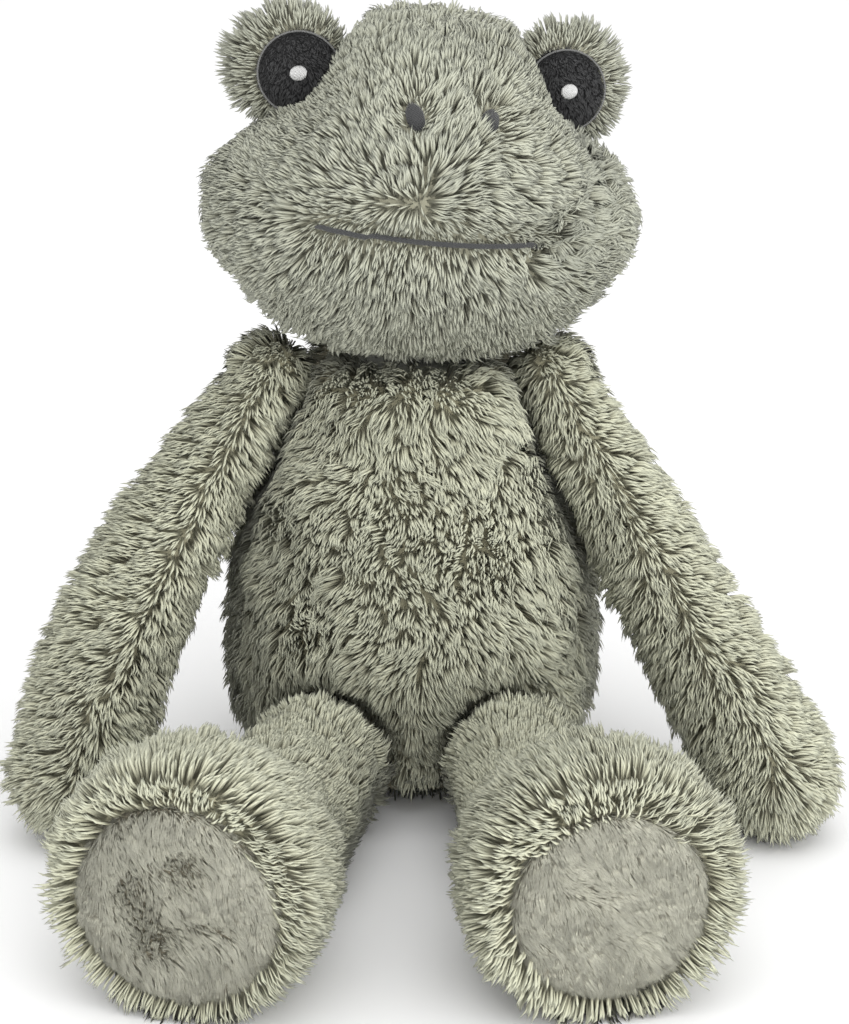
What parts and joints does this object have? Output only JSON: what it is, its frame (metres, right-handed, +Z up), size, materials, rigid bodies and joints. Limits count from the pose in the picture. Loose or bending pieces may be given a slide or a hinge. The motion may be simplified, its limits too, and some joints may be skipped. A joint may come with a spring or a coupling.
{
  "type": "plush frog",
  "caption": "Sitting plush frog of shaggy pile fabric, with long floppy arms, short legs and round feet with soft sole pads.",
  "frame": {"origin": "centre of the flat seat that the frog sits on, on the floor", "axes": "+Z up; -Y is the way the belly faces; +X is the viewer's right as the viewer faces the frog"},
  "size_m": [0.2495, 0.2339, 0.2403],
  "materials": {
    "fluffy_pile": "shaggy pale green-grey polyester pile, long and tufted, matt",
    "back_pile": "the same pile, a little darker, on the back and undersides",
    "sole_pile": "short dense pile, pale beige-grey, matt",
    "eye_pile": "short dense pile, charcoal, matt",
    "dark_thread": "dark grey embroidery thread, slight sheen",
    "pale_thread": "pale grey-white embroidery thread, slight sheen",
    "stuffing": "loose white polyester fibre",
    "pellet_cloth": "thin woven cloth over plastic pellets"
  },
  "bodies": {
    "torso": {"belly_panel": "fluffy_pile", "back_panel_left": "back_pile", "back_panel_right": "back_pile", "seat_panel": "back_pile", "body_stuffing": "stuffing", "pellet_bag": "pellet_cloth"},
    "neck": {"neck_seam": "back_pile"},
    "head": {"face_panel": "fluffy_pile", "chin_panel": "fluffy_pile", "head_back_left": "back_pile", "head_back_right": "back_pile", "head_stuffing": "stuffing", "mouth_thread": "dark_thread", "nostril_left": "dark_thread", "nostril_right": "dark_thread", "eye_mound_left": "fluffy_pile", "eye_patch_left": "eye_pile", "eye_glint_left": "pale_thread", "eye_mound_right": "fluffy_pile", "eye_patch_right": "eye_pile", "eye_glint_right": "pale_thread"},
    "shoulder_left": {"shoulder_wad_left": "stuffing"},
    "arm_left": {"arm_outer_panel_left": "fluffy_pile", "arm_inner_panel_left": "fluffy_pile", "arm_stuffing_left": "stuffing"},
    "shoulder_right": {"shoulder_wad_right": "stuffing"},
    "arm_right": {"arm_outer_panel_right": "fluffy_pile", "arm_inner_panel_right": "fluffy_pile", "arm_stuffing_right": "stuffing"},
    "hip_left": {"hip_wad_left": "stuffing"},
    "leg_left": {"leg_upper_panel_left": "fluffy_pile", "leg_under_panel_left": "back_pile", "leg_stuffing_left": "stuffing", "foot_cover_left": "fluffy_pile", "foot_stuffing_left": "stuffing", "sole_pad_left": "sole_pile"},
    "hip_right": {"hip_wad_right": "stuffing"},
    "leg_right": {"leg_upper_panel_right": "fluffy_pile", "leg_under_panel_right": "back_pile", "leg_stuffing_right": "stuffing", "foot_cover_right": "fluffy_pile", "foot_stuffing_right": "stuffing", "sole_pad_right": "sole_pile"}
  },
  "joints": [
    {"name": "neck_turn", "type": "hinge", "parent": "torso", "child": "neck", "pos_m": [0, -0.008, 0.1598], "axis": [0, 0, 1], "range_deg": [-40, 40], "stiffness_Nm_per_rad": 0.2},
    {"name": "neck_nod", "type": "hinge", "parent": "neck", "child": "head", "pos_m": [0, -0.008, 0.1598], "axis": [1, 0, 0], "range_deg": [-12, 12], "stiffness_Nm_per_rad": 0.6},
    {"name": "shoulder_swing_left", "type": "hinge", "parent": "torso", "child": "shoulder_left", "pos_m": [-0.04275, -0.006, 0.1273], "axis": [-1, 0, 0], "range_deg": [-45, 80]},
    {"name": "shoulder_raise_left", "type": "hinge", "parent": "shoulder_left", "child": "arm_left", "pos_m": [-0.04275, -0.006, 0.1273], "axis": [0, 1, 0], "range_deg": [0, 70]},
    {"name": "shoulder_swing_right", "type": "hinge", "parent": "torso", "child": "shoulder_right", "pos_m": [0.04275, -0.006, 0.1273], "axis": [-1, 0, 0], "range_deg": [-45, 80]},
    {"name": "shoulder_raise_right", "type": "hinge", "parent": "shoulder_right", "child": "arm_right", "pos_m": [0.04275, -0.006, 0.1273], "axis": [0, -1, 0], "range_deg": [0, 70]},
    {"name": "hip_raise_left", "type": "hinge", "parent": "torso", "child": "hip_left", "pos_m": [-0.0275, -0.06, 0.022], "axis": [-1, 0, 0], "range_deg": [-90, 30]},
    {"name": "hip_splay_left", "type": "hinge", "parent": "hip_left", "child": "leg_left", "pos_m": [-0.0275, -0.06, 0.022], "axis": [0, 0, -1], "range_deg": [-8, 33]},
    {"name": "hip_raise_right", "type": "hinge", "parent": "torso", "child": "hip_right", "pos_m": [0.031, -0.06, 0.022], "axis": [-1, 0, 0], "range_deg": [-90, 30]},
    {"name": "hip_splay_right", "type": "hinge", "parent": "hip_right", "child": "leg_right", "pos_m": [0.031, -0.06, 0.022], "axis": [0, 0, 1], "range_deg": [-8, 33]}
  ]
}
